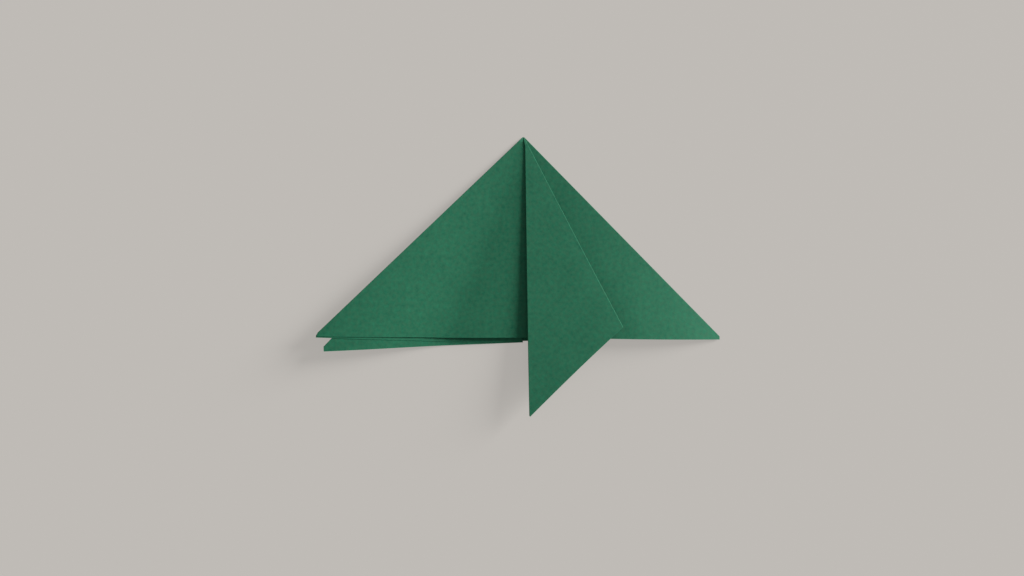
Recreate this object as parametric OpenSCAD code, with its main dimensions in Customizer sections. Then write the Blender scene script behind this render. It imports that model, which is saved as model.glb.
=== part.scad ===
// Origami tree, part folded: one square sheet of paper, dyed green right through and cut a little out
// of square, folded to a triangular base that lies on its back, with its right front flap turned in.

/* [Sheet] */
// Side of the square sheet, from left to right
sheet_side = 150; // [110:1:200]
// How much shorter the sheet was cut from back to front
out_of_square = 0.8; // [0:0.1:1.2]
// Thickness of the paper
paper_t = 0.1; // [0.06:0.01:0.14]
// Free gap between two neighbouring layers
layer_gap = 0.1; // [0.08:0.01:0.2]
// How far the creases cross to the right of the sheet's middle
crossing_right = 1; // [0:0.1:2]
// How far the creases cross in front of the sheet's middle
crossing_front = 0.9; // [0:0.1:3]

/* [Ridges] */
// How far the sheet's corner lies off the back left ridge, on the left leaf
back_left_miss = 1.2; // [0.3:0.1:2]
// How far the sheet's corner lies off the back right ridge, on the right leaf
back_right_miss = 0.8; // [0.3:0.1:2]
// How far the sheet's corner lies off the turned-in flap's ridge, on its upper leaf
flap_ridge_miss = 0.3; // [0.3:0.1:2]
// How far the sheet's corner lies off the front left ridge, on the leaf under the front leaf
front_left_miss = 0.3; // [0.3:0.1:2]

/* [Flap] */
// Angle on the sheet from the flap's ridge to the fold of its upper leaf
upper_leaf_angle = 26.9; // [26:0.1:27.4]
// Angle on the sheet from the flap's ridge to the fold of its lower leaf
lower_leaf_angle = 21.8; // [21.4:0.1:22.4]
// Angle on the sheet of the leaf hidden under the flap, from its fold to the inner fold
hidden_leaf_angle = 23.4; // [23:0.1:23.8]

/* [Spring of the folds] */
// Rise of the flap's ridge at its tip
flap_ridge_rise = 3; // [2.4:0.1:7]
// Rise of the upper leaf's fold at the raw edge
upper_fold_rise = 1.6; // [1.4:0.1:1.8]
// Rise of the lower leaf's fold at the raw edge
lower_fold_rise = 1.7; // [1.6:0.1:1.8]
// Rise of the right inner fold at the raw edge
right_inner_rise = 0.7; // [0.5:0.1:1]
// Rise of the left inner fold at the raw edge
left_inner_rise = 0.3; // [0.2:0.1:0.8]
// Rise of the front left ridge at its tip
front_left_rise = 0.1; // [0:0.1:2]
// Rise of the front leaf off the leaf under it, at the raw end of the wing's soft crease
soft_crease_rise = 0.1; // [0:0.1:0.6]

/* [Curl of the leaves] */
// Lift of the right leaf off the back panel, at the raw end of the flap's fold
right_lift = 2.7; // [0:0.1:3.2]
// How steeply that lift grows with the distance from the crossing
right_lift_power = 3; // [2:0.1:4]
// How fully that lift bows between the right leaf's ridge and the flap's fold
right_bow_power = 1.5; // [1.2:0.1:2]
// Lift of the whole left wing off the table
wing_lift = 5.2; // [0:0.1:6]
// Width of the soft bend across which the left wing lifts
wing_bend_w = 53; // [40:1:66]
// How far to the right of the wing's soft crease that bend begins
wing_bend_off = 4; // [0:0.1:8]
// Angle from straight down to the wing's soft crease
wing_crease_angle = 22.4; // [18:0.1:27]

/* [Hidden] */

quarter_turn = 90;
half_turn = 180;
full_turn = 360;

// Raw sides in turn: back, right, front, left, by their distance from the crossing
half_w = sheet_side / 2;
half_l = (sheet_side - out_of_square) / 2;
side_dist = [
    half_l + crossing_front,
    half_w - crossing_right,
    half_l - crossing_front,
    half_w + crossing_right
];
side_count = len(side_dist);

// Directions on the flat sheet, counted round the crossing from the back side's normal
function dist_of_side(i) = side_dist[(i + side_count) % side_count];
function normal_of_side(i) = quarter_turn * i;
function corner_angle(i) = normal_of_side(i) + atan(dist_of_side(i + 1) / dist_of_side(i));
function corner_dist(i) = norm([dist_of_side(i), dist_of_side(i + 1)]);
function ridge_angle(i, miss) = corner_angle(i) + asin(miss / corner_dist(i));

// Side that a direction on the sheet meets, and the length to it
function side_at(angle) = len([for (i = [0 : side_count - 1]) if (angle > corner_angle(i)) i]);
function reach(angle) =
    let (side = side_at(angle))
    dist_of_side(side) / cos(angle - normal_of_side(side));

// The eight creases, in the order in which they pass round the crossing
back_left = ridge_angle(side_count - 1, back_left_miss) - full_turn;
back_right = ridge_angle(0, -back_right_miss);
flap_ridge = ridge_angle(1, flap_ridge_miss);
front_left = ridge_angle(2, -front_left_miss);
upper_fold = flap_ridge - upper_leaf_angle;
lower_fold = flap_ridge + lower_leaf_angle;
right_inner = upper_fold - hidden_leaf_angle;
// A sheet folded flat has its every second sector add up to half a turn
left_inner = front_left + half_turn - (back_right - back_left)
    - hidden_leaf_angle - lower_leaf_angle;
creases = [
    back_left, back_right, right_inner, upper_fold,
    flap_ridge, lower_fold, front_left, left_inner
];
count = len(creases);

// Layer of each panel, counted from the table: panel i lies between creases i and i + 1
layers = [0, 1, 2, 5, 4, 3, 2, 1];
pitch = paper_t + layer_gap;

function crease(k) = k < count ? creases[k] : creases[k - count] + full_turn;
function turn_of(panel) = panel % 2 == 0 ? 1 : -1;
function azimuth(k) =
    k == 0 ? (crease(0) - crease(1)) / 2
           : azimuth(k - 1) + turn_of(k - 1) * (crease(k) - crease(k - 1));
azimuths = [for (k = [0 : count]) azimuth(k)];

// Slope of each crease up from the table
rises = [
    0, 0, right_inner_rise, upper_fold_rise,
    flap_ridge_rise, lower_fold_rise, front_left_rise, left_inner_rise
];
slopes = [for (k = [0 : count]) rises[k % count] / reach(creases[k % count])];

// Radius of the bend at a crease, from the layers that it joins
function bend_r(k) =
    abs(layers[k % count] - layers[(k + count - 1) % count]) * pitch / 2;

// Plan directions: azimuth 0 runs straight down the page from the crossing
function along(az) = [sin(az), -cos(az)];
function across(az) = [cos(az), sin(az)];
function cross_z(a, b) = a.x * b.y - a.y * b.x;
function mix(a, b, f) = a + (b - a) * f;
function held(f) = max(0, min(1, f));
function smooth(f) = pow(held(f), 2) * (3 - 2 * held(f));

// Height of the plane through two lines that slope up from the crossing
function plane_z(p, az_a, slope_a, az_b, slope_b) =
    let (a = along(az_a), b = along(az_b))
    (slope_a * cross_z(p, b) + slope_b * cross_z(a, p)) / cross_z(a, b);
function flat_z(panel, p) =
    plane_z(p, azimuths[panel], slopes[panel], azimuths[panel + 1], slopes[panel + 1]);

// The front leaf lies on the leaf under it up to the wing's soft crease, and rises from there to its fold
front_leaf = 5;
soft_az = -wing_crease_angle;
soft_crease = lower_fold + azimuths[front_leaf] - soft_az;
soft_slope = flat_z(front_leaf + 1, along(soft_az)) + soft_crease_rise / reach(soft_crease);
function left_of_crease(p) = cross_z(p, along(soft_az));
function leaf_z(panel, p) =
    panel != front_leaf ? flat_z(panel, p)
    : left_of_crease(p) > 0 ? plane_z(p, soft_az, soft_slope, azimuths[panel + 1], slopes[panel + 1])
    : plane_z(p, azimuths[panel], slopes[panel], soft_az, soft_slope);

// The right leaf springs off the back panel with the leaves on it: it rises from its ridge to the
// flap's fold, and sinks again to the flap's ridge, where the flap itself stands higher
function springs(panel) = panel >= 1 && panel <= 5;
function of_flap(panel) = panel == 3 || panel == 4;
function right_lift_z(panel, p) =
    let (az = atan2(p.x, -p.y), ridge_az = azimuths[1], fold_az = azimuths[3])
    let (low_az = of_flap(panel) ? soft_az : azimuths[4])
    let (down = 1 - held((ridge_az - az) / (ridge_az - fold_az)))
    let (length_share = norm(p) / reach(upper_fold))
    right_lift * pow(length_share, right_lift_power) * (1 - pow(down, right_bow_power))
    * smooth((az - low_az) / (fold_az - low_az));

// The left wing lifts from its soft crease, steepest near that crease
function wing_lift_z(p) =
    let (f = held((left_of_crease(p) + wing_bend_off) / wing_bend_w))
    wing_lift * (1 - pow(1 - f, 3) * (1 + 3 * f));

// Height of a panel's middle surface over the table, at a plan point
function panel_z(panel, p) =
    paper_t / 2 + layers[panel] * pitch + leaf_z(panel, p) + wing_lift_z(p)
    + (springs(panel) ? right_lift_z(panel, p) : 0);

// The layers draw together from a small ring to the point where the creases cross
ring_pitches = 12.5;
ring_r = ring_pitches * pitch;
point_share = 0.16;

// Rulings run from that ring to the raw edge, each a list of kind, panel or crease, and plan ends
station_step = 2.2;
bend_steps = 6;
rows = 9;

function panel_knots(panel) =
    let (start = crease(panel), end = crease(panel + 1))
    let (low = start + asin(bend_r(panel) / reach(start)))
    let (high = end - asin(bend_r(panel + 1) / reach(end)))
    let (marks = concat([soft_crease], [for (i = [0 : side_count - 1]) corner_angle(i)]))
    concat([low], [for (mark = marks) if (mark > low && mark < high) mark], [high]);
function panel_angles(panel) =
    let (knots = panel_knots(panel))
    concat(
        [for (k = [0 : len(knots) - 2])
            let (n = ceil((knots[k + 1] - knots[k]) / station_step))
            for (j = [0 : n - 1]) mix(knots[k], knots[k + 1], j / n)],
        [knots[len(knots) - 1]]);
function panel_rulings(panel) =
    let (turn = turn_of(panel), angles = panel_angles(panel), last = len(angles) - 1)
    let (az_low = azimuths[panel] + turn * asin(bend_r(panel) / ring_r))
    let (az_high = azimuths[panel + 1] - turn * asin(bend_r(panel + 1) / ring_r))
    [for (j = [0 : last])
        let (az = azimuths[panel] + turn * (angles[j] - crease(panel)))
        [0, panel, ring_r * along(mix(az_low, az_high, j / last)), reach(angles[j]) * along(az)]];

// At a bend the rulings run beside the crease, from the panel before it to the panel after it
function bend_rulings(k) =
    let (az = azimuths[k], inward = turn_of(k) * across(az), side = side_at(crease(k)))
    let (edge = along(az + turn_of(k) * (normal_of_side(side) - crease(k))))
    let (mirror_edge = along(az - turn_of(k) * (normal_of_side(side) - crease(k))))
    [for (j = [1 : bend_steps - 1])
        let (swing = mix(-quarter_turn, quarter_turn, j / bend_steps))
        let (in = bend_r(k) * (1 - cos(swing)), raw = swing < 0 ? mirror_edge : edge)
        let (far = (dist_of_side(side) - in * (inward * raw)) / (along(az) * raw))
        let (near = sqrt(ring_r * ring_r - in * in))
        [1, k, near * along(az) + in * inward, far * along(az) + in * inward, swing]];

function bend_z(k, swing, p) =
    let (az = azimuths[k])
    let (at = (p * along(az)) * along(az) + bend_r(k) * turn_of(k) * across(az))
    let (before = panel_z((k + count - 1) % count, at), after = panel_z(k % count, at))
    mix(before, after, (1 + sin(swing)) / 2);

rulings = [for (k = [0 : count - 1]) each concat(bend_rulings(k), panel_rulings(k))];
around = len(rulings);
depth = rows + 2;

// Middle surface of the sheet, one row of points down each ruling
function ruling_point(r, f) =
    let (p = mix(r[2], r[3], f))
    [p.x, p.y, r[0] == 0 ? panel_z(r[1], p) : bend_z(r[1], r[4], p)];
point = [0, 0, paper_t / 2];
middle = [for (r = rulings)
    let (ring = ruling_point(r, 0))
    concat([mix(point, ring, point_share)], [for (j = [0 : rows]) ruling_point(r, j / rows)])];

// Both faces stand half the paper off the middle surface
function unit(v) = v / norm(v);
function face_normal(s, q) =
    let (next = middle[(s + 1) % around][q], last = middle[(s + around - 1) % around][q])
    let (out = middle[s][min(q + 1, depth - 1)], back = middle[s][max(q - 1, 0)])
    unit(cross(next - last, out - back));
function face_point(s, q, side) =
    middle[s][q] + side * (q == 0 ? point_share : 1) * paper_t / 2 * face_normal(s, q);

outer_face = [for (s = [0 : around - 1]) for (q = [0 : depth - 1]) face_point(s, q, 1)];
inner_face = [for (s = [0 : around - 1]) for (q = [0 : depth - 1]) face_point(s, q, -1)];

function outer_at(s, q) = (s % around) * depth + q;
function inner_at(s, q) = around * depth + outer_at(s, q);
function two_triangles(a, b, c, d) = [[a, b, c], [a, c, d]];
sheet_faces = [for (s = [0 : around - 1]) each concat(
    [for (q = [0 : depth - 2]) each two_triangles(
        outer_at(s, q), outer_at(s, q + 1), outer_at(s + 1, q + 1), outer_at(s + 1, q))],
    [for (q = [0 : depth - 2]) each two_triangles(
        inner_at(s, q), inner_at(s + 1, q), inner_at(s + 1, q + 1), inner_at(s, q + 1))],
    two_triangles(outer_at(s, 0), outer_at(s + 1, 0), inner_at(s + 1, 0), inner_at(s, 0)),
    two_triangles(inner_at(s, depth - 1), inner_at(s + 1, depth - 1),
        outer_at(s + 1, depth - 1), outer_at(s, depth - 1)))];

// The origin is on the underside of the back panel, halfway down its centre line
apex_y = dist_of_side(0) / 2;

module folded_sheet() {
    color("seagreen")
        translate([0, apex_y, 0])
            polyhedron(points = concat(outer_face, inner_face), faces = sheet_faces, convexity = count);
}

folded_sheet();
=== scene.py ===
"""Origami tree, part folded: one square sheet of paper dyed green right through, lying on its back."""

import math

import bpy
import numpy as np
from mathutils import Euler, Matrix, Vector


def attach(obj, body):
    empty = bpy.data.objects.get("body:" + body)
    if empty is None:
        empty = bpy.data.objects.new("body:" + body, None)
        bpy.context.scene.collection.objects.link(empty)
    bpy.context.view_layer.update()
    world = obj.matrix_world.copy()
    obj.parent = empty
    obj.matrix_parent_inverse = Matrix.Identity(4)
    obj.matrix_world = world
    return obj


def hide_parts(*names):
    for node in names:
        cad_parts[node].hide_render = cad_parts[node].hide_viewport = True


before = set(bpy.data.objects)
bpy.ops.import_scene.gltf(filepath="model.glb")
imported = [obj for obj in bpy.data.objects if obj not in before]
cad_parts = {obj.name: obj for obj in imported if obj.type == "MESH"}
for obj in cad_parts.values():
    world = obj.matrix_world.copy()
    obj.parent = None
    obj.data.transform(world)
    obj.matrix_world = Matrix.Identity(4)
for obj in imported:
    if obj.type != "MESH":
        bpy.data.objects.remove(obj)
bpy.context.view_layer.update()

MM = 0.001
QUARTER = math.pi / 2

# The sheet, flat
SHEET_SIDE = 150 * MM
OUT_OF_SQUARE = 0.8 * MM
PAPER_T = 0.1 * MM
CROSSING_RIGHT = 1 * MM
CROSSING_FRONT = 0.9 * MM

# Air between the layers, less than in the solid, because pressed paper lies close
LAYER_GAP = 0.045 * MM

# How far the sheet's corner lies off each ridge: before it for two, and after it for two
BACK_LEFT_MISS = 1.2 * MM
BACK_RIGHT_MISS = -0.8 * MM
FLAP_RIDGE_MISS = 0.3 * MM
FRONT_LEFT_MISS = -0.3 * MM

# The turned-in flap and the leaf under it, by their angles on the sheet
UPPER_LEAF_ANGLE = math.radians(26.9)
LOWER_LEAF_ANGLE = math.radians(21.8)
HIDDEN_LEAF_ANGLE = math.radians(23.4)

# Rise of the sprung folds at the raw edge, where the other creases lie flat
FLAP_RIDGE_RISE = 3.8 * MM
UPPER_FOLD_RISE = 1.6 * MM
LOWER_FOLD_RISE = 1.7 * MM
RIGHT_INNER_RISE = 0.7 * MM

# Soft crease of the front leaf: its plan azimuth, and its rise off the leaf under it
SOFT_AZ = math.radians(-22.4)
SOFT_CREASE_RISE = 0.25 * MM

# How far the raw edge stands out past a straight cut at some creases, and half the angle of the blunt tip
UPPER_FOLD_OUT = 1.25 * MM
FLAP_RIDGE_OUT = -1.7 * MM
SOFT_CREASE_OUT = 0.65 * MM
UNDER_CREASE_OUT = 0.5 * MM
FRONT_LEFT_OUT = -1.7 * MM
BLUNT_ANGLE = math.radians(0.42)

# How far the layers at the crossing push the flap's ridge aside
RIDGE_SHIFT = 0.55 * MM
RIDGE_SHIFT_RUN = 4 * MM

# Spring of the right leaf, with the flap on it
RIGHT_LIFT = 2.7 * MM
RIGHT_LIFT_POWER = 3
RIGHT_BOW_POWER = 1.5

# Lift of the front leaf's raw edge, by the azimuths where it starts, is full and ends
FRONT_LIFT = 0.85 * MM
FRONT_LIFT_POWER = 3
FRONT_LIFT_FROM = math.radians(-29)
FRONT_LIFT_TO = math.radians(-11)
FRONT_LIFT_END = math.radians(12)

# Lift of the left wing, the width of its bend, and where that starts, left of the soft crease's line
WING_LIFT = 5.2 * MM
WING_BEND_W = 53 * MM
WING_BEND_OFF = -4 * MM

# Waves of the paper, by the runs across and up the page in which each turns by one radian
WAVE_HEIGHT = 0.03 * MM
LONG_WAVE_RUNS = (5.3 * MM, 9.1 * MM)
CROSS_WAVE_RUNS = (-17 * MM, 6.7 * MM)
SHORT_WAVE_RUNS = (2.9 * MM, -4.3 * MM)
SHORT_WAVE_START = 1.7
LONG_WAVE_SHARE = 0.7

# Dent where the flap's fold was pressed down, and its width to the flap and to the right leaf
PRESS_DEPTH = 0.12 * MM
PRESS_RUN = 40 * MM
PRESS_FLAP_W = 4.5 * MM
PRESS_LEAF_W = 6 * MM
PRESS_ROUND = 1 * MM

# How finely the sheet is meshed, and how tightly it turns at the folds and at the crossing
STATION_STEP = math.radians(0.85)
EDGE_STATION = 0.2 * MM
BEND_STEPS = 12
ROWS = 60
BEND_TIGHTNESS = 0.85
RING_PITCHES = 12.5
POINT_SHARE = 0.16
SHARP_ANGLE = math.radians(40)

# Grain of the paper: sizes on the flat sheet in millimetres, and how far each grain shifts the green
NOISE_MIDDLE = 0.5
CLOUD_SIZE = 8.5
CLOUD_SHIFT = 0.35
MOTTLE_SIZE = 1.6
MOTTLE_DETAIL = 3
MOTTLE_ROUGHNESS = 0.65
MOTTLE_SHIFT = 1.45
TINT_SIZE = 1.3
TINT_PLACE = (310, 170, 0)
TINT_SHARE = 0.25
TINT_SHIFT = 1.2
TOOTH_SIZE = 0.26

# Hairs of the pulp: directions on the sheet, scale along and across a hair, and where they start to show
HAIR_ANGLES = (0.4, 1.5, 2.6)
HAIR_SCALE = (0.45, 5, 1)
HAIR_DETAIL = 1.5
HAIR_CURL = 0.6
HAIR_FAINT = 0.56
HAIR_CLEAR = 0.74
HAIR_SHIFT = 0.12

# Painted shade: the paper is drawn darker near the crossing, where it stands in for light that falls off,
# in millimetres from it
CROSSING_SHADE_FROM = 8
CROSSING_SHADE_TO = 80
CROSSING_SHADE_MIDDLE = 0.55
CROSSING_SHADE_SHIFT = 0.15

# Wear of the folds, wear and a painted highlight along the raw edge, and the paper's surface
FOLD_WEAR = 0.1
RIM_WEAR_AND_HIGHLIGHT = 0.6
RIM_W = 0.22 * MM
BUMP_STRENGTH = 0.35
BUMP_DEPTH = 0.04 * MM
HAIR_BUMP = 0.6
PAPER_ROUGHNESS = 0.76
ROUGHNESS_SHIFT = 0.2
PAPER_SPECULAR = 0.22

# Camera: tilts off straight down, roll, and the table point at the middle of the image
CAMERA_TILTS = (math.radians(3.078), math.radians(4.317), math.radians(0.84))
CAMERA_AIM = Vector((-4.8 * MM, -18.01 * MM, 0))
CAMERA_DISTANCE = 440.5 * MM
LENS_MM = 41.81
SENSOR_MM = 36

# Light: a soft key from the right and an even fill, which add up to a plain level on a flat face
KEY_SHARE = 0.68
FILL_SHARE = 0.32
KEY_AZIMUTH = math.radians(27)
KEY_ELEVATION = math.radians(17)
KEY_SPREAD = math.radians(24)

# Table, in metres, with the share of its colour that it shows whatever the light
TABLE_SIZE = 40
TABLE_DROP = 0.05 * MM
TABLE_ROUGHNESS = 0.9
TABLE_SPECULAR = 0.1
GLOW_SHARE = 0.72


def srgb(red, green, blue):
    """A colour written as 0 to 255 display values, made linear."""
    def linear(value):
        share = value / 255
        return share / 12.92 if share <= 0.04045 else ((share + 0.055) / 1.055) ** 2.4
    return (linear(red), linear(green), linear(blue), 1)


DEEP_GREEN = srgb(1, 80, 57)
PALE_GREEN = srgb(33, 106, 77)
EARTH_GREEN = srgb(45, 93, 68)
# Pale green for worn folds, and for the cut edge, where it is partly wear and partly a painted highlight
WEAR_AND_HIGHLIGHT_GREEN = srgb(40, 122, 92)
TABLE_GREY = srgb(191, 187, 182)


# Folding

# The creases in turn round the crossing, and the panel that follows each of them
(BACK_LEFT, BACK_RIGHT, RIGHT_INNER, UPPER_FOLD,
 FLAP_RIDGE, LOWER_FOLD, FRONT_LEFT, LEFT_INNER) = range(8)
(BACK_PANEL, RIGHT_LEAF, HIDDEN_LEAF, UPPER_LEAF,
 LOWER_LEAF, FRONT_LEAF, WING_TOP, WING_UNDER) = range(8)
FLAP_LEAVES = (UPPER_LEAF, LOWER_LEAF)
RIGHT_LEAVES = (RIGHT_LEAF, HIDDEN_LEAF, UPPER_LEAF, LOWER_LEAF, FRONT_LEAF)

# Layer of each panel over the table
LAYERS = {BACK_PANEL: 0, RIGHT_LEAF: 1, HIDDEN_LEAF: 2, UPPER_LEAF: 5,
          LOWER_LEAF: 4, FRONT_LEAF: 3, WING_TOP: 2, WING_UNDER: 1}
COUNT = len(LAYERS)
RISES = {RIGHT_INNER: RIGHT_INNER_RISE, UPPER_FOLD: UPPER_FOLD_RISE,
         FLAP_RIDGE: FLAP_RIDGE_RISE, LOWER_FOLD: LOWER_FOLD_RISE}

SHEET_RUN = SHEET_SIDE - OUT_OF_SQUARE
BACK_DIST = SHEET_RUN / 2 + CROSSING_FRONT
RIGHT_DIST = SHEET_SIDE / 2 - CROSSING_RIGHT
FRONT_DIST = SHEET_RUN / 2 - CROSSING_FRONT
LEFT_DIST = SHEET_SIDE / 2 + CROSSING_RIGHT
SIDE_DISTS = (BACK_DIST, RIGHT_DIST, FRONT_DIST, LEFT_DIST)
SIDES = len(SIDE_DISTS)
PITCH = PAPER_T + LAYER_GAP
RING_R = RING_PITCHES * PITCH


def dist_of_side(i):
    """Distance of a raw side from the crossing: back, right, front and left in turn."""
    return SIDE_DISTS[i % SIDES]


def corner_angle(i):
    """Direction on the sheet of the corner at the end of side i."""
    return QUARTER * i + math.atan(dist_of_side(i + 1) / dist_of_side(i))


def ridge_angle(i, miss):
    """Direction on the sheet of a ridge that passes corner i by miss."""
    return corner_angle(i) + math.asin(miss / math.hypot(dist_of_side(i), dist_of_side(i + 1)))


def side_at(angle):
    """The raw side that a direction on the sheet meets."""
    return sum(angle > corner_angle(i) for i in range(SIDES))


def reach(angle):
    """Length from the crossing to a straight raw edge in a direction on the sheet."""
    side = side_at(angle)
    return dist_of_side(side) / math.cos(angle - QUARTER * side)


def lay_creases():
    """Directions of the eight creases on the sheet, in turn round the crossing."""
    back_left = ridge_angle(SIDES - 1, BACK_LEFT_MISS) - math.tau
    back_right = ridge_angle(0, BACK_RIGHT_MISS)
    flap_ridge = ridge_angle(1, FLAP_RIDGE_MISS)
    front_left = ridge_angle(2, FRONT_LEFT_MISS)
    upper_fold = flap_ridge - UPPER_LEAF_ANGLE
    lower_fold = flap_ridge + LOWER_LEAF_ANGLE
    right_inner = upper_fold - HIDDEN_LEAF_ANGLE
    # A sheet folded flat has its every second sector add up to half a turn
    left_inner = (front_left + math.pi - (back_right - back_left)
                  - HIDDEN_LEAF_ANGLE - LOWER_LEAF_ANGLE)
    return [back_left, back_right, right_inner, upper_fold,
            flap_ridge, lower_fold, front_left, left_inner]


CREASES = lay_creases()


def crease(k):
    """Direction of a crease on the sheet, going on past a full turn."""
    return CREASES[k % COUNT] + math.tau * (k // COUNT)


def turn_of(panel):
    """Every second panel lies face down, so its directions run the other way round."""
    return 1 if panel % 2 == 0 else -1


def lay_azimuths():
    """Plan direction of each crease once folded, with the back panel straight down the page."""
    found = [(crease(BACK_LEFT) - crease(BACK_RIGHT)) / 2]
    for k in range(COUNT):
        found.append(found[-1] + turn_of(k) * (crease(k + 1) - crease(k)))
    return found


AZIMUTHS = lay_azimuths()
SLOPES = [RISES.get(k % COUNT, 0) / reach(CREASES[k % COUNT]) for k in range(COUNT + 1)]


def bend_r(k):
    """Plan radius of the bend at a crease: as tight as the paper lets it be, for the layers it joins."""
    half_height = abs(LAYERS[k % COUNT] - LAYERS[(k - 1) % COUNT]) * PITCH / 2
    return math.sqrt(half_height * BEND_TIGHTNESS * PAPER_T)


def along(azimuth):
    """Plan direction of an azimuth, counted from straight down the page."""
    return np.stack([np.sin(azimuth), -np.cos(azimuth)], -1)


def across(azimuth):
    """Plan direction square to an azimuth."""
    return np.stack([np.cos(azimuth), np.sin(azimuth)], -1)


def azimuth_of(p):
    """Plan azimuth of a point, seen from the crossing."""
    return np.arctan2(p[..., 0], -p[..., 1])


def length_of(p):
    """Plan distance of a point from the crossing."""
    return np.linalg.norm(p, axis=-1)


def cross_z(a, b):
    """How far b lies to the left of a, times the length of a."""
    return a[..., 0] * b[..., 1] - a[..., 1] * b[..., 0]


def mix(a, b, share):
    """A value between two others."""
    return a + (b - a) * share


def smooth(share):
    """From 0 to 1, level at both ends."""
    held = np.clip(share, 0, 1)
    return held * held * (3 - 2 * held)


def early_smooth(share):
    """From 0 to 1, level at both ends and steepest a third of the way along."""
    held = np.clip(share, 0, 1)
    return 1 - (1 - held) ** 3 * (1 + 3 * held)


def plane_z(p, azimuth_a, slope_a, azimuth_b, slope_b):
    """Height of the plane through two lines that slope up from the crossing."""
    a, b = along(azimuth_a), along(azimuth_b)
    return (slope_a * cross_z(p, b) + slope_b * cross_z(a, p)) / cross_z(a, b)


def flat_z(panel, p):
    """Height of the plane through a panel's two creases."""
    return plane_z(p, AZIMUTHS[panel], SLOPES[panel], AZIMUTHS[panel + 1], SLOPES[panel + 1])


# The soft crease on the front leaf, and the line on the leaf under it that lies below it
SOFT_CREASE = crease(LOWER_FOLD) + AZIMUTHS[LOWER_FOLD] - SOFT_AZ
UNDER_CREASE = crease(FRONT_LEFT) + SOFT_AZ - AZIMUTHS[FRONT_LEFT]
SOFT_SLOPE = flat_z(WING_TOP, along(SOFT_AZ)) + SOFT_CREASE_RISE / reach(SOFT_CREASE)

# Directions on the sheet where its raw edge turns, and how far it stands out there
EDGE_TURNS = (
    (crease(RIGHT_INNER), 0),
    (crease(UPPER_FOLD), UPPER_FOLD_OUT),
    (crease(FLAP_RIDGE), FLAP_RIDGE_OUT),
    (crease(LOWER_FOLD), 0),
    (SOFT_CREASE, SOFT_CREASE_OUT),
    (crease(FRONT_LEFT) - BLUNT_ANGLE, 0),
    (crease(FRONT_LEFT), FRONT_LEFT_OUT),
    (crease(FRONT_LEFT) + BLUNT_ANGLE, 0),
    (UNDER_CREASE, UNDER_CREASE_OUT),
    (crease(LEFT_INNER), 0),
)
EDGE_MARKS, EDGE_OUTS = zip(*EDGE_TURNS)


def edge_stretch(angle):
    """Length to the cut edge in a direction on the sheet, as a share of that to a straight cut."""
    return 1 + np.interp(angle, EDGE_MARKS, EDGE_OUTS) / reach(angle)


def flap_shift(panel, p):
    """Sideways push of the flap's ridge, which fades out towards the fold of each of its leaves."""
    if panel not in FLAP_LEAVES:
        return 0
    ridge = AZIMUTHS[FLAP_RIDGE]
    fold = AZIMUTHS[UPPER_FOLD if panel == UPPER_LEAF else LOWER_FOLD]
    share = np.clip((fold - azimuth_of(p)) / (fold - ridge), 0, 1)
    push = RIDGE_SHIFT * share * smooth(length_of(p) / RIDGE_SHIFT_RUN)
    return push[..., None] * across(ridge)


def leaf_z(panel, p):
    """Height of a panel's plane: the front leaf has two, which meet at its soft crease."""
    if panel != FRONT_LEAF:
        return flat_z(panel, p)
    left = plane_z(p, SOFT_AZ, SOFT_SLOPE, AZIMUTHS[FRONT_LEFT], SLOPES[FRONT_LEFT])
    right = plane_z(p, AZIMUTHS[LOWER_FOLD], SLOPES[LOWER_FOLD], SOFT_AZ, SOFT_SLOPE)
    return np.where(cross_z(p, along(SOFT_AZ)) > 0, left, right)


def right_lift_z(panel, p):
    """Spring of the right leaf off the back panel, with the leaves on it: it rises from its ridge to
    the flap's fold, and sinks again to the flap's ridge, where the flap itself stands higher."""
    azimuth = azimuth_of(p)
    ridge, fold = AZIMUTHS[BACK_RIGHT], AZIMUTHS[UPPER_FOLD]
    low = SOFT_AZ if panel in FLAP_LEAVES else AZIMUTHS[FLAP_RIDGE]
    rise = 1 - (1 - np.clip((ridge - azimuth) / (ridge - fold), 0, 1)) ** RIGHT_BOW_POWER
    sink = smooth((azimuth - low) / (fold - low))
    length = length_of(p) / reach(crease(UPPER_FOLD))
    return RIGHT_LIFT * length ** RIGHT_LIFT_POWER * rise * sink


def press_z(p):
    """Shallow dent along the flap's fold, alike in the leaves that lie over a point there."""
    aside = cross_z(along(AZIMUTHS[UPPER_FOLD]), p)
    width = np.where(aside > 0, PRESS_LEAF_W, PRESS_FLAP_W)
    share = np.clip(1 - (np.hypot(aside, PRESS_ROUND) - PRESS_ROUND) / width, 0, 1)
    return -PRESS_DEPTH * smooth(length_of(p) / PRESS_RUN) * share * share


def front_lift_z(p):
    """Lift of the front leaf's raw edge between its soft crease and the flap, which lies over its end."""
    azimuth = azimuth_of(p)
    rise = smooth((azimuth - FRONT_LIFT_FROM) / (FRONT_LIFT_TO - FRONT_LIFT_FROM))
    sink = smooth(1 - azimuth / FRONT_LIFT_END)
    length = length_of(p) / reach(SOFT_CREASE)
    return FRONT_LIFT * length ** FRONT_LIFT_POWER * rise * sink


def wing_lift_z(p):
    """Lift of the left wing, in a bend that runs along its soft crease."""
    off = cross_z(p, along(SOFT_AZ)) - WING_BEND_OFF
    return WING_LIFT * early_smooth(off / WING_BEND_W)


def ripple(p, runs, start=0):
    """A wave over the page, by the runs across and up it in which it turns by one radian."""
    return np.sin(p[..., 0] / runs[0] + p[..., 1] / runs[1] + start)


def wave_z(p):
    """Slight unevenness of the paper, alike in all the layers that lie over a point."""
    long_wave = ripple(p, LONG_WAVE_RUNS) * ripple(p, CROSS_WAVE_RUNS)
    short_wave = ripple(p, SHORT_WAVE_RUNS, SHORT_WAVE_START)
    return WAVE_HEIGHT * mix(short_wave, long_wave, LONG_WAVE_SHARE)


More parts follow.
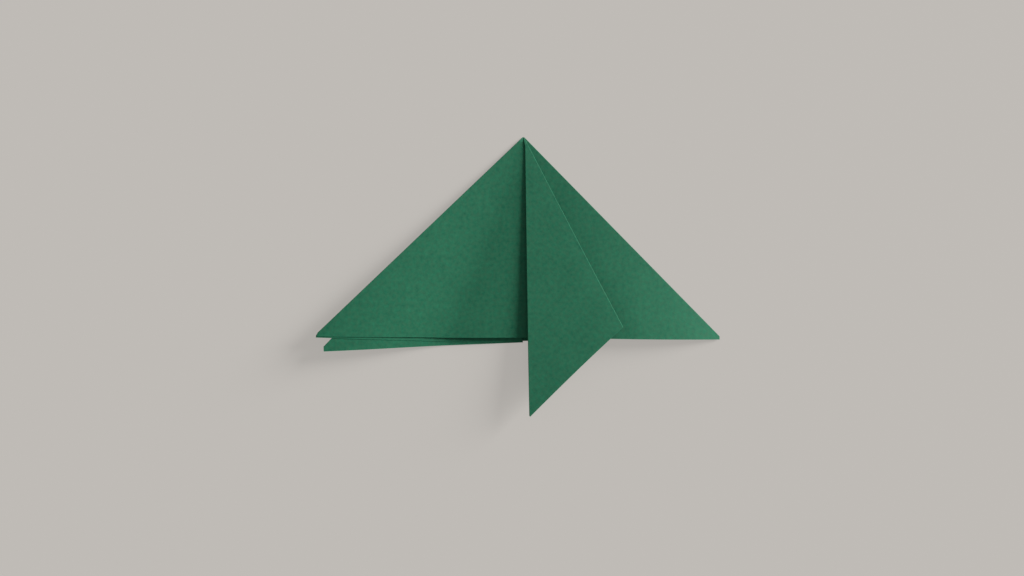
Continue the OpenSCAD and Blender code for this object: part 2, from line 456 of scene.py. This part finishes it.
def panel_z(panel, p):
    """Height of a panel's middle surface over the table."""
    height = PAPER_T / 2 + LAYERS[panel] * PITCH + leaf_z(panel, p) + wing_lift_z(p)
    if panel in RIGHT_LEAVES:
        height = height + right_lift_z(panel, p) + press_z(p)
    if panel == FRONT_LEAF:
        height = height + front_lift_z(p)
    if panel != BACK_PANEL:
        height = height + wave_z(p)
    return height


def bend_z(k, swing, p):
    """Height round a bend: it leaves one panel and comes to the next half a turn later."""
    axis = along(AZIMUTHS[k])
    inward = bend_r(k) * turn_of(k) * across(AZIMUTHS[k])
    at = (p @ axis)[..., None] * axis + inward
    before, after = panel_z((k - 1) % COUNT, at), panel_z(k % COUNT, at)
    return mix(before, after, (1 + math.sin(swing)) / 2)


def sheet_place(distance, angle, aside=0):
    """Place on the flat sheet, from 0 to 1 along both sides."""
    x = distance * np.sin(angle) + aside * np.cos(angle)
    y = -distance * np.cos(angle) + aside * np.sin(angle)
    return np.stack([(x + LEFT_DIST) / SHEET_SIDE, (y + BACK_DIST) / SHEET_RUN], -1)


def row_shares():
    """How far along a ruling each of its points lies."""
    return np.linspace(0, 1, ROWS + 1)


def panel_angles(panel):
    """Directions of a panel's rulings on the sheet, with one on each corner and each turn of its edge."""
    start, end = crease(panel), crease(panel + 1)
    low = start + math.asin(bend_r(panel) / reach(start))
    high = end - math.asin(bend_r(panel + 1) / reach(end))
    marks = sorted([*EDGE_MARKS, *map(corner_angle, range(SIDES))])
    knots = [low] + [mark for mark in marks if low < mark < high] + [high]
    angles = []
    for first, last in zip(knots, knots[1:]):
        steps = math.ceil((last - first) / STATION_STEP)
        angles += [mix(first, last, j / steps) for j in range(steps)]
    # A ruling close beside each bend keeps its shading off the panel
    angles.insert(1, low + EDGE_STATION / reach(low))
    return angles + [high - EDGE_STATION / reach(high), high]


def panel_rulings(panel):
    """Rows of points from the ring round the crossing to the raw edge: plan, height, sheet, fold."""
    turn, angles = turn_of(panel), panel_angles(panel)
    az_low = AZIMUTHS[panel] + turn * math.asin(bend_r(panel) / RING_R)
    az_high = AZIMUTHS[panel + 1] - turn * math.asin(bend_r(panel + 1) / RING_R)
    for j, angle in enumerate(angles):
        near = RING_R * along(mix(az_low, az_high, j / (len(angles) - 1)))
        stretch = edge_stretch(angle)
        far = reach(angle) * stretch * along(AZIMUTHS[panel] + turn * (angle - crease(panel)))
        p = mix(near, far, row_shares()[:, None])
        flat_angle = crease(panel) + turn * (azimuth_of(p) - AZIMUTHS[panel])
        flat = sheet_place(length_of(p) / stretch, flat_angle)
        yield p + flap_shift(panel, p), panel_z(panel, p), flat, 0


def bend_rulings(k):
    """Rows of points beside a crease, round from the panel before it to the panel after it."""
    axis, inward = along(AZIMUTHS[k]), turn_of(k) * across(AZIMUTHS[k])
    side = side_at(crease(k))
    lean = turn_of(k) * (QUARTER * side - crease(k))
    stretch = edge_stretch(crease(k))
    for j in range(1, BEND_STEPS):
        swing = mix(-QUARTER, QUARTER, j / BEND_STEPS)
        depth = bend_r(k) * (1 - math.cos(swing))
        raw = along(AZIMUTHS[k] + (lean if swing >= 0 else -lean))
        far = (dist_of_side(side) - depth * (inward @ raw)) / (axis @ raw)
        near = math.sqrt(RING_R ** 2 - depth ** 2)
        length = mix(near, far * stretch, row_shares())
        p = length[:, None] * axis + depth * inward
        flat = sheet_place(length / stretch, crease(k), bend_r(k) * math.sin(swing))
        yield p + flap_shift(k, p), bend_z(k, swing, p), flat, math.cos(swing)


def fold_sheet():
    """Middle surface of the sheet, its places on the flat sheet, and how near each is to a fold."""
    middle, flat, folds = [], [], []
    crossing = np.array([0, 0, PAPER_T / 2])
    for k in range(COUNT):
        for p, height, places, fold in (*bend_rulings(k), *panel_rulings(k)):
            row = np.column_stack([p, height])
            middle.append(np.vstack([mix(crossing, row[:1], POINT_SHARE), row]))
            flat.append(np.vstack([places[:1], places]))
            folds.append(np.full(len(row) + 1, fold))
    return np.array(middle), np.array(flat), np.array(folds)


def face_normals(middle):
    """Unit normals of the middle surface, towards the outer side."""
    beside = np.roll(middle, -1, 0) - np.roll(middle, 1, 0)
    outward = np.gradient(middle, axis=1)
    normal = np.cross(beside, outward)
    return normal / np.linalg.norm(normal, axis=-1, keepdims=True)


def quads(first, second):
    """Faces between each ruling of the first set and its neighbour in the second."""
    inner, outer = first[:, :-1], first[:, 1:]
    next_inner, next_outer = second[:, :-1], second[:, 1:]
    return np.stack([inner, next_inner, next_outer, outer], -1).reshape(-1, 4)


def make_folded_paper():
    """The sheet with its thickness: two faces, closed along the raw edge and round the crossing."""
    middle, flat, folds = fold_sheet()
    around, depth = folds.shape
    half = np.full((1, depth, 1), PAPER_T / 2)
    half[:, 0] *= POINT_SHARE
    offset = half * face_normals(middle)
    crossing = np.array([0, BACK_DIST / 2, 0])
    points = np.concatenate([middle + offset, middle - offset]).reshape(-1, 3) + crossing

    outer = np.arange(around * depth).reshape(around, depth)
    inner = outer + around * depth
    next_outer, next_inner = np.roll(outer, -1, 0), np.roll(inner, -1, 0)
    point_wall = np.stack([outer[:, 0], inner[:, 0], next_inner[:, 0], next_outer[:, 0]], -1)
    raw_wall = np.stack([outer[:, -1], next_outer[:, -1], next_inner[:, -1], inner[:, -1]], -1)
    faces = np.concatenate([quads(outer, next_outer), quads(next_inner, inner),
                            point_wall, raw_wall])

    mesh = bpy.data.meshes.new("folded_paper")
    mesh.from_pydata(points.tolist(), [], faces.tolist())
    mesh.materials.append(green_paper())
    mesh.polygons.foreach_set("use_smooth", np.ones(len(faces), bool))
    places = np.concatenate([flat, flat]).reshape(-1, 2)
    mesh.uv_layers.new(name="sheet").uv.foreach_set("vector", places[faces.ravel()].ravel())
    near_fold = mesh.attributes.new("fold", "FLOAT", "POINT")
    near_fold.data.foreach_set("value", np.concatenate([folds, folds]).ravel())
    mesh.set_sharp_from_angle(angle=SHARP_ANGLE)
    mesh.update()
    paper = bpy.data.objects.new("folded_paper", mesh)
    bpy.context.collection.objects.link(paper)
    return paper


# Finishes

class Socket:
    """A node's output; sums and products of it add Math nodes to its tree."""

    def __init__(self, tree, output):
        self.tree = tree
        self.output = output

    def math(self, operation, first, second):
        return self.tree.node("ShaderNodeMath", {"operation": operation},
                              {"Value": first, "Value_001": second})

    def __add__(self, other):
        return self.math("ADD", self, other)

    def __radd__(self, other):
        return self.math("ADD", other, self)

    def __sub__(self, other):
        return self.math("SUBTRACT", self, other)

    def __rsub__(self, other):
        return self.math("SUBTRACT", other, self)

    def __mul__(self, other):
        return self.math("MULTIPLY", self, other)

    def __rmul__(self, other):
        return self.math("MULTIPLY", other, self)


class Tree:
    """The node tree of a material or a world, emptied to begin with."""

    def __init__(self, owner):
        owner.use_nodes = True
        self.owner = owner
        self.nodes = owner.node_tree.nodes
        self.links = owner.node_tree.links
        self.nodes.clear()

    def node(self, kind, settings=None, sockets=None, output=None):
        """Adds a node: its settings first, then its sockets' values or links, by identifier."""
        made = self.nodes.new(kind)
        for name, value in (settings or {}).items():
            setattr(made, name, value)
        inputs = {socket.identifier: socket for socket in made.inputs}
        for name, value in (sockets or {}).items():
            if isinstance(value, Socket):
                self.links.new(value.output, inputs[name])
            else:
                inputs[name].default_value = value
        outputs = {socket.identifier: socket for socket in made.outputs}
        if not outputs:
            return None
        return Socket(self, outputs[output or next(iter(outputs))])

    def noise(self, place, size, detail=2.0, roughness=0.5):
        """Soft noise with grains of a size, in the units of the place."""
        return self.node("ShaderNodeTexNoise", {"noise_dimensions": "2D"},
                         {"Vector": place, "Scale": 1 / size, "Detail": detail,
                          "Roughness": roughness})

    def blend(self, first, second, share):
        """A colour between two others."""
        return self.node("ShaderNodeMix", {"data_type": "RGBA"},
                         {"Factor_Float": share, "A_Color": first, "B_Color": second},
                         output="Result_Color")

    def step(self, value, low, high):
        """0 below low and 1 over high, with a soft step between."""
        return self.node("ShaderNodeMapRange", {"interpolation_type": "SMOOTHSTEP"},
                         {"Value": value, "From Min": low, "From Max": high})


def fibres(tree, place, angle):
    """Fine hairs of the pulp, drawn out along one direction of the sheet."""
    drawn = tree.node("ShaderNodeMapping", {},
                      {"Vector": place, "Rotation": (0, 0, angle), "Scale": HAIR_SCALE})
    grain = tree.node("ShaderNodeTexNoise", {"noise_dimensions": "2D"},
                      {"Vector": drawn, "Scale": 1, "Detail": HAIR_DETAIL, "Distortion": HAIR_CURL})
    return tree.step(grain, HAIR_FAINT, HAIR_CLEAR)


def raw_rim(tree, place):
    """1 on the raw edge of the sheet, and 0 from a hair's breadth inside it."""
    def from_edge(axis):
        run = tree.node("ShaderNodeSeparateXYZ", {}, {"Vector": place}, output=axis)
        return run.math("MINIMUM", run, SHEET_SIDE / MM - run)
    inset = from_edge("X")
    inset = inset.math("MINIMUM", inset, from_edge("Y"))
    return 1 - tree.step(inset, 0, RIM_W / MM)


def painted_shade_falloff(tree, place):
    """0 at the crossing, where the painted shade is darkest, and 1 well away from it."""
    distance = tree.node("ShaderNodeVectorMath", {"operation": "DISTANCE"},
                         {"Vector": place, "Vector_001": (LEFT_DIST / MM, BACK_DIST / MM, 0)},
                         output="Value")
    return tree.step(distance, CROSSING_SHADE_FROM, CROSSING_SHADE_TO)


def green_paper():
    """Paper dyed through: clouded and mottled, with shade painted darker near the crossing, paler on a
    rubbed fold, and paler along the cut edge from wear and a painted highlight.
    """
    tree = Tree(bpy.data.materials.new("green paper"))
    flat = tree.node("ShaderNodeUVMap", {"uv_map": "sheet"})
    place = tree.node("ShaderNodeVectorMath", {"operation": "SCALE"},
                      {"Vector": flat, "Scale": SHEET_SIDE / MM})
    cloud = tree.noise(place, CLOUD_SIZE)
    mottle = tree.noise(place, MOTTLE_SIZE, MOTTLE_DETAIL, MOTTLE_ROUGHNESS)
    tooth = tree.noise(place, TOOTH_SIZE)
    tint_place = tree.node("ShaderNodeMapping", {}, {"Vector": place, "Location": TINT_PLACE})
    tint = tree.noise(tint_place, TINT_SIZE)
    first, second, third = (fibres(tree, place, angle) for angle in HAIR_ANGLES)
    hairs = (first + second + third) * (1 / len(HAIR_ANGLES))

    # The last term is painted shade: the green is darker the nearer it lies to the crossing
    share = (NOISE_MIDDLE + (cloud - NOISE_MIDDLE) * CLOUD_SHIFT + (mottle - NOISE_MIDDLE) * MOTTLE_SHIFT
             + hairs * HAIR_SHIFT + (painted_shade_falloff(tree, place) - CROSSING_SHADE_MIDDLE) * CROSSING_SHADE_SHIFT)
    colour = tree.blend(DEEP_GREEN, PALE_GREEN, share)
    colour = tree.blend(colour, EARTH_GREEN, TINT_SHARE + (tint - NOISE_MIDDLE) * TINT_SHIFT)
    fold = tree.node("ShaderNodeAttribute", {"attribute_name": "fold"}, output="Fac")
    colour = tree.blend(colour, WEAR_AND_HIGHLIGHT_GREEN, fold * mottle * FOLD_WEAR)
    # Pale rim along the cut edge: partly wear, partly a painted highlight
    colour = tree.blend(colour, WEAR_AND_HIGHLIGHT_GREEN, raw_rim(tree, place) * RIM_WEAR_AND_HIGHLIGHT)

    bump = tree.node("ShaderNodeBump", {}, {"Strength": BUMP_STRENGTH, "Distance": BUMP_DEPTH,
                                            "Height": tooth + hairs * HAIR_BUMP})
    roughness = PAPER_ROUGHNESS + (mottle - NOISE_MIDDLE) * ROUGHNESS_SHIFT
    shader = tree.node("ShaderNodeBsdfPrincipled", {},
                       {"Base Color": colour, "Roughness": roughness, "Normal": bump,
                        "Specular IOR Level": PAPER_SPECULAR})
    tree.node("ShaderNodeOutputMaterial", {}, {"Surface": shader})
    return tree.owner


# Table, light and camera

def table_grey():
    """A plain grey that the camera sees nearly as it is written, with a faint shadow on it."""
    tree = Tree(bpy.data.materials.new("table"))
    shader = tree.node("ShaderNodeBsdfPrincipled", {},
                       {"Base Color": TABLE_GREY, "Roughness": TABLE_ROUGHNESS,
                        "Specular IOR Level": TABLE_SPECULAR})
    glow = tree.node("ShaderNodeEmission", {}, {"Color": TABLE_GREY, "Strength": 1})
    camera, glossy, through = (tree.node("ShaderNodeLightPath", output="Is %s Ray" % kind)
                               for kind in ("Camera", "Glossy", "Transmission"))
    seen = camera + glossy + through
    shader = tree.node("ShaderNodeMixShader", {}, {"Fac": seen * GLOW_SHARE, "Shader": shader,
                                                   "Shader_001": glow})
    tree.node("ShaderNodeOutputMaterial", {}, {"Surface": shader})
    return tree.owner


def make_table():
    """A wide level table, a hair's breadth under the paper."""
    half = TABLE_SIZE / 2
    corners = [(-half, -half, 0), (half, -half, 0), (half, half, 0), (-half, half, 0)]
    mesh = bpy.data.meshes.new("table")
    mesh.from_pydata(corners, [], [(0, 1, 2, 3)])
    mesh.materials.append(table_grey())
    table = bpy.data.objects.new("table", mesh)
    table.location.z = -TABLE_DROP
    bpy.context.collection.objects.link(table)


def make_fill():
    """An even light from all round."""
    world = bpy.data.worlds.new("fill")
    bpy.context.scene.world = world
    tree = Tree(world)
    light = tree.node("ShaderNodeBackground", {}, {"Color": (1, 1, 1, 1), "Strength": FILL_SHARE})
    tree.node("ShaderNodeOutputWorld", {}, {"Surface": light})


def make_key():
    """A broad far light whose share on a level face is KEY_SHARE of the whole."""
    toward = Vector((math.cos(KEY_ELEVATION) * math.cos(KEY_AZIMUTH),
                     math.cos(KEY_ELEVATION) * math.sin(KEY_AZIMUTH),
                     math.sin(KEY_ELEVATION)))
    lamp = bpy.data.lights.new("key", "SUN")
    lamp.angle = KEY_SPREAD
    lamp.energy = KEY_SHARE * math.pi / toward.z
    key = bpy.data.objects.new("key", lamp)
    key.rotation_euler = toward.to_track_quat("Z", "Y").to_euler()
    bpy.context.collection.objects.link(key)


def make_camera():
    """Turns the table to the camera's axes by its tilts, and stands back along its view."""
    eye = Euler(CAMERA_TILTS, "XYZ").to_matrix().transposed()
    data = bpy.data.cameras.new("camera")
    data.lens = LENS_MM
    data.sensor_width = SENSOR_MM
    camera = bpy.data.objects.new("camera", data)
    camera.rotation_euler = eye.to_euler()
    camera.location = CAMERA_AIM + eye @ Vector((0, 0, CAMERA_DISTANCE))
    bpy.context.collection.objects.link(camera)
    bpy.context.scene.camera = camera


bpy.context.scene.view_settings.view_transform = "Standard"
folded_paper = make_folded_paper()
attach(folded_paper, "root")
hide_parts("folded_sheet")
make_table()
make_fill()
make_key()
make_camera()
